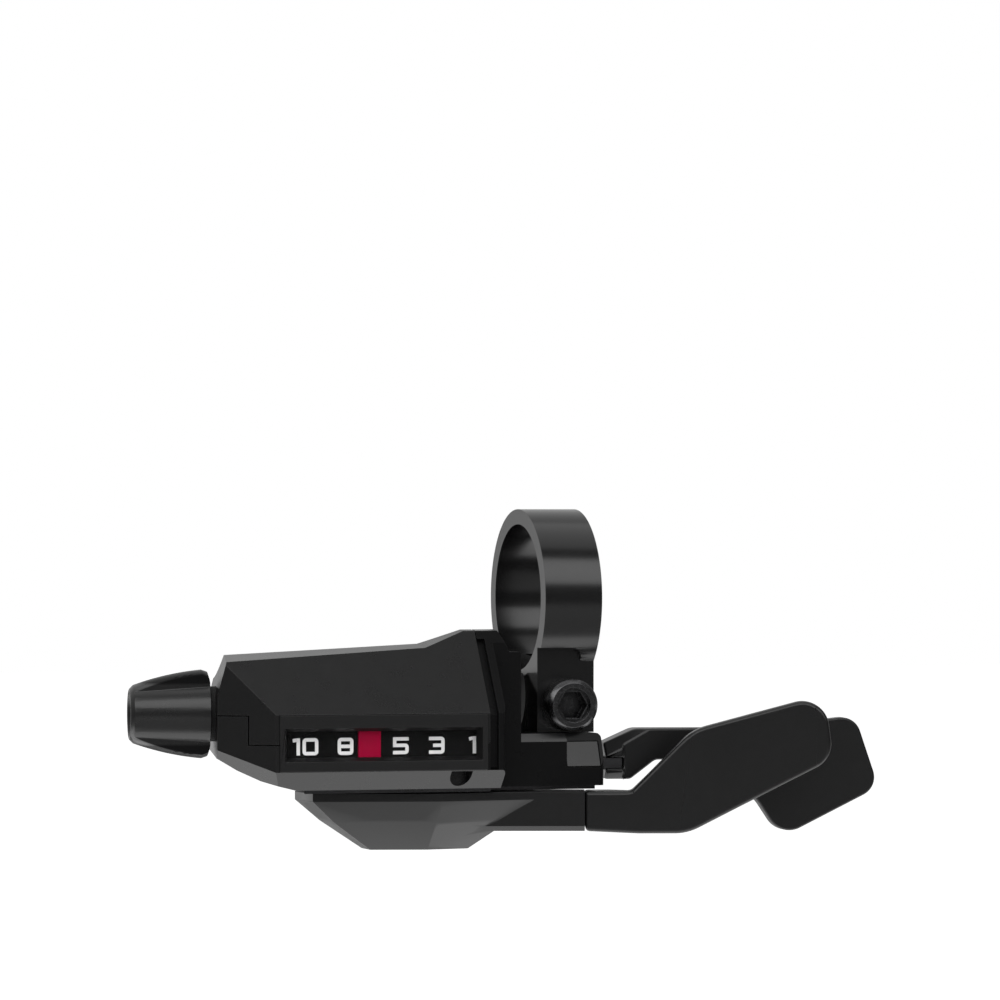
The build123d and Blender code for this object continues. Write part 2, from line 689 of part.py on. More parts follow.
def pivot_nut():
    """The nut that closes the shaft under the hub."""
    nut = extrude(RegularPolygon(NUT_WIDTH / 2, 6, major_radius=False), NUT_HEIGHT)
    return PIVOT * (Pos(0, 0, nut_top - NUT_HEIGHT) * nut - rod(shaft_r + FIT, hub_bottom, hub_top))


def cable_spool():
    """The cable spool with its groove, spring well and keyed boss."""
    spool = rod(spool_r, spool_bottom, spool_top)
    spool += rod(boss_r, ratchet_bottom, spool_bottom) & box(-boss_flat, boss_flat, -BIG, BIG, -BIG, 0)
    spool -= Pos(0, 0, cable_z) * Torus(groove_r + CABLE_DIAMETER * 0.6, CABLE_DIAMETER * 0.9)
    spool -= ring(well_outer, well_inner, spool_top - WELL_DEPTH, spool_top)
    spool -= rod(well_inner - SLEEVE_WALL, clip_low - SLIDE_GAP, spool_top)
    anchor = polar(groove_r - 0.3 * CABLE_DIAMETER, 250)
    spool -= rod(CABLE_DIAMETER * 0.7, cable_z - CABLE_DIAMETER, spool_top, *anchor)
    return PIVOT * (spool - rod(shaft_r + FIT, bottom_z, 0))


def ratchet_wheel():
    """The steel wheel whose teeth the pawls hold."""
    root = ratchet_r - TOOTH_DEPTH
    wheel = Circle(root)
    for tooth in range(TOOTH_COUNT):
        start = HOLD_PAWL_ANGLE - 70 + tooth * GEAR_STEP
        heel = polar(root - ROOM, start)
        tip = polar(ratchet_r, start)
        toe = polar(root - ROOM, start + GEAR_STEP * 0.92)
        wheel += make_face(Polyline(heel, tip, toe, close=True))
    key = Circle(boss_r + FIT) & Rectangle(2 * (boss_flat + FIT), BIG)
    return PIVOT * slab(wheel - key, ratchet_bottom, spool_bottom)


def coil(radius, floor, turns):
    """A coil spring about the pivot that stands on a floor."""
    start = floor + ROOM / 2 + SPRING_WIRE / 2
    return PIVOT * wire(Pos(0, 0, start) * Helix(SPRING_PITCH, SPRING_PITCH * turns, radius), SPRING_WIRE)


def spool_spring():
    """The spring that winds the spool back."""
    return coil((well_inner + well_outer) / 2, spool_top - WELL_DEPTH, 2.0)


def pull_return_spring():
    """The spring that brings the pull lever back."""
    return coil(hub_well_r - SPRING_WIRE, hub_top - HUB_WELL_DEPTH, 2.0)


def pawl(pin_angle):
    """A pawl on its pin, with the tip just outside the teeth."""
    eye = Pos(*polar(pawl_orbit, pin_angle)) * Circle(pawl_eye_r)
    tip = Pos(*polar(ratchet_r + ROOM + PAWL_TIP, pin_angle + PAWL_REACH_ANGLE)) * Circle(PAWL_TIP)
    hole = Pos(*polar(pawl_orbit, pin_angle)) * Circle(pawl_pin_r + FIT)
    return PIVOT * slab(make_hull(eye.edges() + tip.edges()) - hole, ratchet_bottom, pawl_top)


def pull_pawl():
    """The pawl that drives the wheel when the pull lever is pushed."""
    return pawl(PULL_PAWL_ANGLE)


def hold_pawl():
    """The pawl that holds the wheel against the cable."""
    return pawl(HOLD_PAWL_ANGLE)


def hold_pawl_pin():
    """The pin of the hold pawl, fixed in the base plate."""
    return PIVOT * rod(pawl_pin_r, plate_bottom, pawl_top, *polar(pawl_orbit, HOLD_PAWL_ANGLE))


def pull_pawl_pin():
    """The pin of the pull pawl, fixed in the carrier."""
    return PIVOT * rod(pawl_pin_r, carrier_bottom, pawl_top, *polar(pawl_orbit, PULL_PAWL_ANGLE))


def pawl_spring(pin_angle):
    """A curved wire spring behind a pawl's eye."""
    radius = pawl_orbit + pawl_eye_r + FIT + PAWL_WIRE / 2
    points = [polar(radius, pin_angle + turn) for turn in (-14, 0, 14)]
    return PIVOT * wire(Pos(0, 0, (ratchet_bottom + pawl_top) / 2) * ThreePointArc(*points), PAWL_WIRE)


def hold_pawl_spring():
    """The spring that presses the hold pawl in."""
    return pawl_spring(HOLD_PAWL_ANGLE)


def pull_pawl_spring():
    """The spring that presses the pull pawl in."""
    return pawl_spring(PULL_PAWL_ANGLE)


def release_return_spring():
    """The curved wire that brings the release lever back to the pull lever."""
    radius = sleeve_r + RELEASE_EYE_WALL / 2
    points = [polar(radius, turn) for turn in (70, 130, 190)]
    level = release_top + FIT + PAWL_WIRE / 2
    return PIVOT * wire(Pos(0, 0, level) * ThreePointArc(*points), PAWL_WIRE)


def pull_carrier():
    """The steel plate inside the housing that the pull lever turns."""
    pin = polar(pawl_orbit, PULL_PAWL_ANGLE)
    eye = Pos(*pin) * Circle(pawl_eye_r)
    centre = Circle(sleeve_r + CLIP_WIDTH)
    carrier = slab(make_hull(eye.edges() + centre.edges()), carrier_bottom, carrier_top)
    carrier += rod(sleeve_r, hub_top, release_top)
    carrier += sleeve_key(0)
    carrier -= rod(shaft_r + FIT, hub_bottom, 0)
    return PIVOT * (carrier - rod(pawl_pin_r, carrier_bottom, carrier_top, *pin))


def sleeve_key(gap):
    """The sleeve's flatted end, or its socket in the hub."""
    flat = sleeve_flat + gap
    low = hub_top - SLEEVE_KEY - gap
    return rod(sleeve_r + gap, low, hub_top) & box(-flat, flat, -BIG, BIG, low, hub_top)


def hub_outline(side, front):
    """The hub seen from below, drawn in at its sides and at its front and back."""
    left = HUB_LEFT - side
    right = HUB_RIGHT - side
    near = HUB_FRONT - front
    far = HUB_BACK - front
    corners = [
        (-left, -0.4 * near),
        (-0.84 * left, -near),
        (0.2 * right, -0.94 * near),
        (right, -0.48 * near),
        (right, 0.4 * far),
        (0.5 * right, far),
        (-0.55 * left, far),
        (-left, 0.45 * far),
    ]
    return make_face(Polyline(*corners, close=True))


def pull_lever_hub():
    """The faceted hub and the arm that reaches to the paddle."""
    rim_low = hub_top - HUB_RIM
    step_low = rim_low - HUB_STEP
    hub = slab(hub_outline(0, 0), rim_low, hub_top)
    rim = Pos(0, 0, rim_low) * hub_outline(0, 0)
    step = Pos(0, 0, step_low) * hub_outline(HUB_STEP_SIDE, HUB_STEP_FRONT)
    foot = Pos(0, 0, hub_bottom) * hub_outline(HUB_FOOT_SIDE, HUB_FOOT_FRONT)
    hub += loft([rim, step], ruled=True)
    hub += loft([step, foot], ruled=True)
    arm = box(0, ARM_END, -ARM_FRONT, ARM_DEPTH - ARM_FRONT, arm_low, hub_top)
    hub += chamfer(arm.edges().filter_by(Axis.X).group_by(Axis.Z)[0], ARM_CHAMFER)
    hub -= Rot(0, 0, -LEVER_ANGLE) * sleeve_key(FIT)
    hub -= ring(hub_well_r, sleeve_r + SLEEVE_WALL, hub_top - HUB_WELL_DEPTH, hub_top)
    hub -= rod(shaft_r + FIT, hub_bottom, hub_top)
    hub -= rod(CAP_DIAMETER / 2 + FIT, hub_bottom, nut_top + SLIDE_GAP)
    return LEVER * (hub - paddle_tongue(FIT) - paddle_screw_rod(FIT, hub_bottom))


def paddle_tongue(gap):
    """The paddle's tongue inside the arm, or its socket."""
    middle = hub_top - ARM_HEIGHT / 2
    half = TONGUE_HEIGHT / 2 + gap
    side = ARM_DEPTH / 2 - TONGUE_SIDE + gap
    start = ARM_END - TONGUE_LENGTH - gap
    return box(start, paddle_start, arm_middle - side, arm_middle + side, middle - half, middle + half)


def paddle_screw_rod(gap, low):
    """The screw that holds the tongue from below, or its hole."""
    x = ARM_END - TONGUE_LENGTH / 2
    seat = arm_low + SLIDE_GAP + SCREW_HEAD_HEIGHT + gap
    shank = rod(screw_r + gap, low, hub_top - 2 * ROOM + gap, x, arm_middle)
    return shank + rod(screw_head_r + gap, low, seat, x, arm_middle)


def paddle_screw():
    """The small screw through the arm and the tongue."""
    low = arm_low + SLIDE_GAP
    key = Pos(ARM_END - TONGUE_LENGTH / 2, arm_middle, low) * extrude(RegularPolygon(screw_r, 6), screw_r / 2)
    return LEVER * (paddle_screw_rod(0, low) - key)


def hub_cap():
    """The cap that covers the nut."""
    return PIVOT * rod(CAP_DIAMETER / 2, hub_bottom, hub_bottom + CAP_THICKNESS)


def rounded(corners):
    """A closed outline from (x, z, corner radius) rows."""
    outline = make_face(Polyline(*[(x, z) for x, z, radius in corners], close=True))
    for x, z, radius in corners:
        if radius:
            outline = fillet(outline.vertices().sort_by_distance((x, z, 0))[0], radius)
    return outline


def paddle_face():
    """The pull paddle seen from the rider."""
    tip = PADDLE_LENGTH
    crest = hub_top + PADDLE_RISE
    heel = arm_low - PADDLE_HEEL
    slope = PADDLE_BEND + PADDLE_SLOPE
    corners = [
        (paddle_start, arm_low, 0),
        (paddle_start, hub_top, 0),
        (PADDLE_BEND, hub_top, PADDLE_ROUND / 3),
        (slope, hub_top + PADDLE_SLOPE, 2 * PADDLE_ROUND),
        (tip - 0.9, crest + 1.15, PADDLE_ROUND),
        (tip + 0.3, crest - 8.6, PADDLE_ROUND),
        (slope - 0.8, heel, 2 * PADDLE_ROUND),
        (PADDLE_BEND + 1.0, heel, 0),
    ]
    return rounded(corners)


def pull_paddle():
    """The thumb paddle, slightly dished, with a tongue in the arm."""
    end = PADDLE_LENGTH + 1.0
    middle = (PADDLE_BEND + end) / 2
    tip_front = -ARM_FRONT - PADDLE_DISH
    hollow = (middle, -ARM_FRONT + PADDLE_DISH / 2)
    front = ThreePointArc((paddle_start, -ARM_FRONT), hollow, (end, tip_front))
    close = Line((end, tip_front), (end, tip_front + PADDLE_THICKNESS))
    inner = (PADDLE_BEND + 2.0, PADDLE_THICKNESS - ARM_FRONT + 1.5)
    blade_back = (middle, -ARM_FRONT + PADDLE_DISH / 2 + PADDLE_THICKNESS)
    back = ThreePointArc((end, tip_front + PADDLE_THICKNESS), blade_back, inner)
    root_back = (paddle_start, ARM_DEPTH - ARM_FRONT)
    root = Polyline(inner, (PADDLE_BEND - 3.0, ARM_DEPTH - ARM_FRONT), root_back, (paddle_start, -ARM_FRONT))
    plan = make_face(front.edges() + close.edges() + back.edges() + root.edges())
    face = extrude(Plane.XZ * paddle_face(), BIG / 4, both=True)
    paddle = (face & slab(plan, -BIG / 4, 0)) + paddle_tongue(0)
    return LEVER * (paddle - paddle_screw_rod(FIT, hub_bottom))


def rivet_rods(gap):
    """Two rivets through the fork and the plate, or their holes."""
    shape = Part()
    for share in (0.3, 0.75):
        x = RELEASE_ROOT + share * FORK_DEPTH
        shape += rod(RIVET_DIAMETER / 2 + gap, fork_low + ROOM, release_top + FORK_JAW - ROOM, x, 0)
    return shape


def release_plate():
    """The steel plate of the release lever, from the sleeve to the paddle's fork."""
    side = RELEASE_ARM_WIDTH / 2 - ROOM
    plate = rod(sleeve_r + RELEASE_EYE_WALL, release_bottom, release_top)
    plate += box(0, fork_mouth - ROOM, -side, side, release_bottom, release_top)
    plate += fork_tang(0)
    return RELEASE * (plate - rod(sleeve_r + FIT, release_bottom, release_top) - rivet_rods(FIT))


def fork_tang(gap):
    """The plate's narrow end inside the fork, or its pocket."""
    side = RELEASE_ARM_WIDTH / 2 - FORK_JAW + gap
    end = fork_end - ROOM + gap
    return box(RELEASE_ROOT, end, -side, side, release_bottom - gap, release_top + gap)


def release_rivets():
    """The rivets that hold the release paddle on its plate."""
    return RELEASE * rivet_rods(0)


def release_face():
    """The release paddle seen from the rider."""
    tip = RELEASE_LENGTH
    root = RELEASE_ROOT
    arm_top = release_top + RELEASE_RISE
    arm_under = release_bottom + RELEASE_UNDER
    foot = release_bottom - RELEASE_DROP
    corners = [
        (root, fork_low, 0),
        (root, arm_top - 2.15, RELEASE_ROUND / 6),
        (root + 4.8, arm_top, RELEASE_ROUND),
        (tip - RELEASE_BLADE, arm_top, 2 * RELEASE_ROUND),
        (tip - 2.85, arm_top + 1.75, RELEASE_ROUND),
        (tip + 0.8, arm_top - 9.15, RELEASE_ROUND),
        (tip - 14.25, foot - 1.1, 1.2 * RELEASE_ROUND),
        (tip - 17.6, foot + 4.0, RELEASE_ROUND),
        (tip - RELEASE_NECK, arm_under, RELEASE_ROUND / 2),
        (root + 7.8, arm_under, RELEASE_ROUND / 2),
        (root + 3.9, fork_low, RELEASE_ROUND / 3),
    ]
    return rounded(corners)


def release_paddle():
    """The release paddle with the fork that grips its plate."""
    half = RELEASE_ARM_WIDTH / 2
    thin = RELEASE_PADDLE_THICKNESS / 2
    narrow = RELEASE_LENGTH - RELEASE_BLADE
    end = RELEASE_LENGTH + 1.0
    bend = fork_end + WALL
    corners = [
        (RELEASE_ROOT, -half),
        (fork_mouth, -half),
        (fork_mouth, FORK_STEP - half),
        (narrow, -thin),
        (end, -thin - PADDLE_DISH / 2),
        (end, thin - PADDLE_DISH / 2),
        (narrow, thin),
        (bend, half),
        (RELEASE_ROOT, half),
    ]
    plan = make_face(Polyline(*corners, close=True))
    paddle = extrude(Plane.XZ * release_face(), BIG / 4, both=True) & slab(plan, -BIG / 4, 0)
    paddle -= box(0, fork_mouth, -BIG, BIG, release_bottom - FIT, release_top + FIT)
    paddle -= fork_tang(FIT)
    jaw = Plane(origin=(0, -half, fork_low + FORK_BEVEL), x_dir=(1, 0, 0), z_dir=(0, -1, -1))
    paddle -= outside(jaw) & box(0, fork_mouth, -BIG, 0, -BIG, release_bottom)
    along = Vector(2 * RELEASE_FACET, 0, RELEASE_FACET)
    inward = Vector(0, 1, 0.9)
    facet_low = (RELEASE_ROOT, -half, release_top + RELEASE_RISE - RELEASE_FACET)
    paddle -= outside(Plane(origin=facet_low, x_dir=along, z_dir=along.cross(inward)))
    return RELEASE * (paddle - rivet_rods(FIT))


def thread_insert():
    """The brass insert that the adjuster screws into."""
    return ADJUSTER * ring(INSERT_DIAMETER / 2, SHANK_DIAMETER / 2 + FIT, insert_low, insert_high)


def adjuster_collar():
    """The plain neck between the knob and the nose."""
    outer = COLLAR_DIAMETER / 2
    low = insert_high + COLLAR_SPRING_ROOM
    return ADJUSTER * ring(outer, outer - COLLAR_WALL, low, KNOB_GAP - PLATE_GAP)


def adjuster_spring():
    """The spring behind the collar that gives the knob its clicks."""
    radius = COLLAR_DIAMETER / 2 - COLLAR_WALL
    height = COLLAR_SPRING_ROOM - 3 * PAWL_WIRE
    path = Pos(0, 0, insert_high + PAWL_WIRE) * Helix(height / 2, height, radius)
    return ADJUSTER * wire(path, PAWL_WIRE)


def adjuster_bolt():
    """The hollow bolt that the knob is moulded on, screwed into the insert."""
    bolt = rod(SHANK_DIAMETER / 2, -SHANK_LENGTH, KNOB_GAP + SHANK_SEAT)
    return ADJUSTER * (bolt - rod(CABLE_DIAMETER / 2 + ROOM, -SHANK_LENGTH, knob_far))


def barrel_adjuster():
    """The two-lobed knob with the casing's socket."""
    big = KNOB_DIAMETER / 2
    small = KNOB_END_DIAMETER / 2
    near = KNOB_GAP
    edge = KNOB_ROUND
    side_low = near + edge
    side_high = knob_far - edge / 2
    bulge = ((big + small) / 2 + edge / 3, (near + knob_far) / 2)
    base = Polyline((0, near), (big - edge, near), (big - edge / 4, near + edge / 4), (big, side_low))
    taper = ThreePointArc((big, side_low), bulge, (small, side_high))
    end = Polyline((small, side_high), (small - edge / 2, knob_far), (0, knob_far), (0, near))
    profile = make_face(base.edges() + taper.edges() + end.edges())
    lobes = revolve(Plane.XZ * profile, Axis.Z) & box(-BIG, BIG, -LOBE_WIDTH / 2, LOBE_WIDTH / 2, 0, BIG)
    core_height = KNOB_LENGTH - edge / 2
    core = Pos(0, 0, near + core_height / 2) * Cone(KNOB_CORE_DIAMETER / 2, small, core_height)
    core += Pos(0, 0, knob_far - edge / 4) * Cone(small, small - edge / 2, edge / 2)
    knob = lobes + core - rod(SHANK_DIAMETER / 2 + FIT, 0, near + SHANK_SEAT)
    knob -= rod(CASING_DIAMETER / 2, knob_far - CASING_DEPTH, knob_far)
    knob -= Pos(0, 0, knob_far - edge / 2) * Cone(CASING_DIAMETER / 2, MOUTH_DIAMETER / 2, edge)
    return ADJUSTER * (knob - rod(CABLE_DIAMETER / 2 + ROOM, 0, knob_far))


def base_screws():
    """The screws that hold the base plate."""
    return base_screw_rods(screw_r, screw_head_r, plate_top + BASE_SCREW_REACH)


def cover_screws():
    """The screws that hold the upper cover."""
    return cover_screw_rods(screw_r, screw_head_r, spool_bottom + ROOM + SLIDE_GAP)


PIECES = [
    lower_housing,
    upper_cover,
    window_bezel,
    window_lens,
    dial_plate,
    base_plate,
    clamp_band,
    clamp_bolt,
    foot_screw,
    cable_port_plug,
    pivot_shaft,
    pivot_nut,
    shaft_clip,
    base_screws,
    cover_screws,
    thread_insert,
    hold_pawl_pin,
    hold_pawl_spring,
    spool_spring,
    pull_return_spring,
    adjuster_spring,
    pull_lever_hub,
    pull_paddle,
    paddle_screw,
    hub_cap,
    pull_carrier,
    pull_pawl_pin,
    pull_pawl_spring,
    release_return_spring,
    pull_pawl,
    release_plate,
    release_paddle,
    release_rivets,
    cable_spool,
    ratchet_wheel,
    gear_pointer,
    hold_pawl,
    adjuster_collar,
    adjuster_bolt,
    barrel_adjuster,
]

os.makedirs("parts", exist_ok=True)
for piece in PIECES:
    export_step(piece(), os.path.join("parts", piece.__name__ + ".step"))
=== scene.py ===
import math

import bmesh
import bpy
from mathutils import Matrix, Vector


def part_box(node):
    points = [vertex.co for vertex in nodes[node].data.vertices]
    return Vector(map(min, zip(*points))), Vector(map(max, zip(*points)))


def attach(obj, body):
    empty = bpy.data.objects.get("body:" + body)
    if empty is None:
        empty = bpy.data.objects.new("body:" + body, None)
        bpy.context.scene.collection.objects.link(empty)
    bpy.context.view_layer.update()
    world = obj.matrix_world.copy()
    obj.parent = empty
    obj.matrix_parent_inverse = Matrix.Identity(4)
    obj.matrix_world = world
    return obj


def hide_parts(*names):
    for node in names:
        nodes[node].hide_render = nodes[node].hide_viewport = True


# The looks of a trigger gear shifter, in metres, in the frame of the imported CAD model.
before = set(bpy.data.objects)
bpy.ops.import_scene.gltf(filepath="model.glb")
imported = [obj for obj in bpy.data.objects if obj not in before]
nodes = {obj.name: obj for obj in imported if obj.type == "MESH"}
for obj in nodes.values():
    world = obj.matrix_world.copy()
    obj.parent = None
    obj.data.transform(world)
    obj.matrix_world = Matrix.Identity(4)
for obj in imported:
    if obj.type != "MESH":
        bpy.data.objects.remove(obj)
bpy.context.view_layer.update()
MM = 0.001
scene = bpy.context.scene


# Nodes that the materials share

MATH = "ShaderNodeMath"
VECTOR_MATH = "ShaderNodeVectorMath"


def feed(tree, value, socket):
    """Links a node's output to a socket, or sets the socket to a plain value."""
    if isinstance(value, bpy.types.NodeSocket):
        tree.links.new(value, socket)
    else:
        socket.default_value = value


def calculate(tree, kind, operation, first, second=None):
    """The value of a math node of a kind, from one or two inputs."""
    node = tree.nodes.new(kind)
    node.operation = operation
    feed(tree, first, node.inputs[0])
    if second is not None:
        feed(tree, second, node.inputs[1])
    return node.outputs["Value"]


def spread(tree, value, start, end, low=0.0, high=1.0):
    """A number that goes from low to high as a value goes from start to end."""
    node = tree.nodes.new("ShaderNodeMapRange")
    node.inputs["From Min"].default_value = start
    node.inputs["From Max"].default_value = end
    node.inputs["To Min"].default_value = low
    node.inputs["To Max"].default_value = high
    tree.links.new(value, node.inputs["Value"])
    return node.outputs["Result"]


def object_coords(tree):
    return tree.nodes.new("ShaderNodeTexCoord").outputs["Object"]


def component(tree, vector, axis):
    """A vector's part along one axis."""
    node = tree.nodes.new("ShaderNodeSeparateXYZ")
    tree.links.new(vector, node.inputs["Vector"])
    return node.outputs[axis]


def noise(tree, coords, size, detail, stretch=None):
    """Noise whose grains are about that size in metres, finer along an axis if a stretch is given."""
    if stretch:
        mapping = tree.nodes.new("ShaderNodeMapping")
        mapping.inputs["Scale"].default_value = stretch
        tree.links.new(coords, mapping.inputs["Vector"])
        coords = mapping.outputs["Vector"]
    node = tree.nodes.new("ShaderNodeTexNoise")
    node.inputs["Scale"].default_value = 1.0 / size
    node.inputs["Detail"].default_value = detail
    tree.links.new(coords, node.inputs["Vector"])
    return node.outputs["Fac"]


def ramp(tree, factor, low, high, start=0.3, end=0.7):
    """A colour or grey between two values, as a factor goes from start to end."""
    node = tree.nodes.new("ShaderNodeValToRGB")
    node.color_ramp.elements[0].position = start
    node.color_ramp.elements[1].position = end
    node.color_ramp.elements[0].color = low
    node.color_ramp.elements[1].color = high
    tree.links.new(factor, node.inputs["Fac"])
    return node.outputs["Color"]


def grey(value):
    return (value, value, value, 1.0)


def shade(color, share):
    """A colour made darker or paler by a share."""
    return (*[min(1.0, c * share) for c in color[:3]], 1.0)


def bump(tree, shader, height, strength, distance):
    node = tree.nodes.new("ShaderNodeBump")
    node.inputs["Strength"].default_value = strength
    node.inputs["Distance"].default_value = distance
    tree.links.new(height, node.inputs["Height"])
    tree.links.new(node.outputs["Normal"], shader.inputs["Normal"])


def edge_mask(tree, radius):
    """A factor that is 0 on flat faces and rises towards edges."""
    rounded = tree.nodes.new("ShaderNodeBevel")
    rounded.samples = 4
    rounded.inputs["Radius"].default_value = radius
    plain = tree.nodes.new("ShaderNodeNewGeometry")
    agree = calculate(tree, VECTOR_MATH, "DOT_PRODUCT", rounded.outputs["Normal"], plain.outputs["Normal"])
    return calculate(tree, MATH, "SUBTRACT", 1.0, agree)


def mix_colors(tree, factor, first, second):
    node = tree.nodes.new("ShaderNodeMix")
    node.data_type = "RGBA"
    tree.links.new(factor, node.inputs["Factor"])
    tree.links.new(first, node.inputs["A"])
    node.inputs["B"].default_value = second
    return node.outputs["Result"]


# Materials

def start_material(name):
    """A new node material, with its tree, its shader and its object coordinates."""
    mat = bpy.data.materials.new(name)
    mat.use_nodes = True
    tree = mat.node_tree
    shader = tree.nodes["Principled BSDF"]
    return mat, tree, shader, object_coords(tree)


def moulded_plastic(name, color, rough, grain=0.25 * MM, depth=0.012 * MM, specular=0.5):
    """Satin moulded plastic: fine grain, faint mottling, and edges painted a little paler, partly as wear
    and partly as a painted highlight.
    """
    mottle = 0.05
    streak = 0.01
    wear_and_highlight_color = shade(color, 2.6)
    mat, tree, shader, coords = start_material(name)
    cloud = noise(tree, coords, size=9.0 * MM, detail=4.0)
    body = ramp(tree, cloud, shade(color, 1.0 - mottle), shade(color, 1.0 + mottle))
    # Paler edges: partly wear and partly a painted highlight where bevels would catch light.
    edge_closeness = edge_mask(tree, radius=0.35 * MM)
    wear_and_highlight_share = ramp(tree, edge_closeness, grey(0.0), grey(0.55), start=0.02, end=0.35)
    tree.links.new(mix_colors(tree, wear_and_highlight_share, body, wear_and_highlight_color), shader.inputs["Base Color"])
    streaks = noise(tree, coords, size=3.0 * MM, detail=5.0)
    dullness = ramp(tree, streaks, grey(rough - streak), grey(rough + streak))
    tree.links.new(dullness, shader.inputs["Roughness"])
    shader.inputs["Specular IOR Level"].default_value = specular
    bump(tree, shader, noise(tree, coords, grain, detail=2.0), strength=0.35, distance=depth)
    return mat


# How far a face looks up, from 0 for straight down to 1 for straight up
LOOKS_DOWN = 0.36
UPRIGHT_FROM = 0.45
UPRIGHT_TO = 0.79
LOOKS_UP = 0.85


def shade_uprights_light_bevels(mat, start, end, upright, bevel):
    """Gives a plastic, past a place along X, one shine on upright faces and another on raised bevels, as
    painted shade on the uprights and a painted highlight on the bevels.
    """
    tree = mat.node_tree
    shine = tree.nodes["Principled BSDF"].inputs["Specular IOR Level"]
    plain = shine.default_value
    zone = spread(tree, component(tree, object_coords(tree), "X"), start, end)
    normal = tree.nodes.new("ShaderNodeNewGeometry").outputs["Normal"]
    lean = spread(tree, component(tree, normal, "Z"), -1.0, 1.0)
    by_lean = ramp(tree, lean, grey(plain), grey(bevel), LOOKS_DOWN, LOOKS_UP)
    stops = by_lean.node.color_ramp.elements
    stops.new(UPRIGHT_FROM).color = grey(upright)
    stops.new(UPRIGHT_TO).color = grey(upright)
    both = tree.nodes.new("ShaderNodeMix")
    both.inputs["A"].default_value = plain
    tree.links.new(zone, both.inputs["Factor"])
    tree.links.new(by_lean, both.inputs["B"])
    tree.links.new(both.outputs["Result"], shine)


def shade_lobes_by_shine(mat, level, reach, fade, dull):
    """Takes shine off a plastic, as painted shade, where it lies farther than a reach above or below a
    level.
    """
    tree = mat.node_tree
    shine = tree.nodes["Principled BSDF"].inputs["Specular IOR Level"]
    height = component(tree, object_coords(tree), "Z")
    above = calculate(tree, MATH, "SUBTRACT", height, level)
    distance = calculate(tree, MATH, "ABSOLUTE", above)
    by_distance = spread(tree, distance, reach, reach + fade, shine.default_value, dull)
    tree.links.new(by_distance, shine)


def metal(name, color, rough, stretch):
    """Metal with fine drawn marks and a little variation in its tone."""
    mat, tree, shader, coords = start_material(name)
    cloud = noise(tree, coords, size=4.0 * MM, detail=4.0)
    tone = ramp(tree, cloud, shade(color, 0.85), shade(color, 1.12))
    tree.links.new(tone, shader.inputs["Base Color"])
    lines = noise(tree, coords, size=0.5 * MM, detail=4.0, stretch=stretch)
    dullness = ramp(tree, lines, grey(rough - 0.07), grey(rough + 0.08))
    tree.links.new(dullness, shader.inputs["Roughness"])
    shader.inputs["Metallic"].default_value = 1.0
    bump(tree, shader, lines, strength=0.25, distance=0.01 * MM)
    return mat


def painted_recess_shade(mat, reach, share):
    """Paints shade into a material's colour in its narrow recesses, darkening it there to a share of it.
    """
    tree = mat.node_tree
    color = tree.nodes["Principled BSDF"].inputs["Base Color"]
    open_share = tree.nodes.new("ShaderNodeAmbientOcclusion")
    open_share.only_local = True
    open_share.samples = 8
    open_share.inputs["Distance"].default_value = reach
    dim = ramp(tree, open_share.outputs["AO"], grey(share), grey(1.0), start=0.45, end=0.95)
    product = tree.nodes.new("ShaderNodeMix")
    product.data_type = "RGBA"
    product.blend_type = "MULTIPLY"
    product.inputs["Factor"].default_value = 1.0
    tree.links.new(color.links[0].from_socket, product.inputs["A"])
    tree.links.new(dim, product.inputs["B"])
    tree.links.new(product.outputs["Result"], color)


def clear_pane(name):
    """The clear pane: mostly see-through, with faint haze."""
    mat, tree, shader, coords = start_material(name)
    haze = noise(tree, coords, size=6.0 * MM, detail=3.0)
    tree.links.new(ramp(tree, haze, grey(0.05), grey(0.08)), shader.inputs["Alpha"])
    tree.links.new(ramp(tree, haze, grey(0.03), grey(0.09)), shader.inputs["Roughness"])
    shader.inputs["Base Color"].default_value = grey(0.02)
    return mat


SATIN_BLACK = (0.0036, 0.0036, 0.0037)
SATIN = moulded_plastic("satin_housing", SATIN_BLACK, 0.28, specular=0.32)
BODY = moulded_plastic("satin_body", SATIN_BLACK, 0.28, specular=0.32)
# Painted shade on the housing's upright faces and a painted highlight on its raised bevels, through their
# shine.
shade_uprights_light_bevels(BODY, start=-17.4 * MM, end=-17.2 * MM, upright=0.08, bevel=0.9)
LEVER = moulded_plastic("satin_lever", (0.0044, 0.0044, 0.0045), 0.3, specular=0.3)
KNOB = moulded_plastic("satin_knob", (0.0038, 0.0038, 0.0039), 0.28, specular=0.42)
# Painted shade on the knob's lobes, by taking their shine off.
shade_lobes_by_shine(KNOB, level=-17.0 * MM, reach=4.3 * MM, fade=0.4 * MM, dull=0.05)
BEZEL = moulded_plastic("dull_bezel", (0.005, 0.005, 0.0051), 0.5, specular=0.2)
RUBBER = moulded_plastic("dull_collar", (0.004, 0.004, 0.004), 0.7, specular=0.25)
DIAL = moulded_plastic("dial_black", (0.002, 0.002, 0.0021), 0.6, specular=0.1)
CRIMSON = (0.32, 0.0005, 0.03)
POINTER = moulded_plastic("pointer_crimson", CRIMSON, 0.45, depth=0.008 * MM, specular=0.03)
SPOOL = moulded_plastic("spool_nylon", (0.02, 0.02, 0.021), 0.5, specular=0.3)
COAT_BLACK = (0.003, 0.003, 0.0031)
COAT = moulded_plastic("band_coat", COAT_BLACK, 0.2, grain=0.8 * MM, depth=0.002 * MM, specular=0.42)
NUMBER = moulded_plastic("number_white", (0.93, 0.93, 0.93), 0.5, depth=0.004 * MM)
LENS = clear_pane("clear_lens")
DARK_STEEL = metal("black_steel", (0.055, 0.055, 0.057), 0.38, stretch=(1.0, 6.0, 1.0))
BOLT = metal("bolt_black", (0.07, 0.07, 0.072), 0.24, stretch=(1.0, 6.0, 1.0))
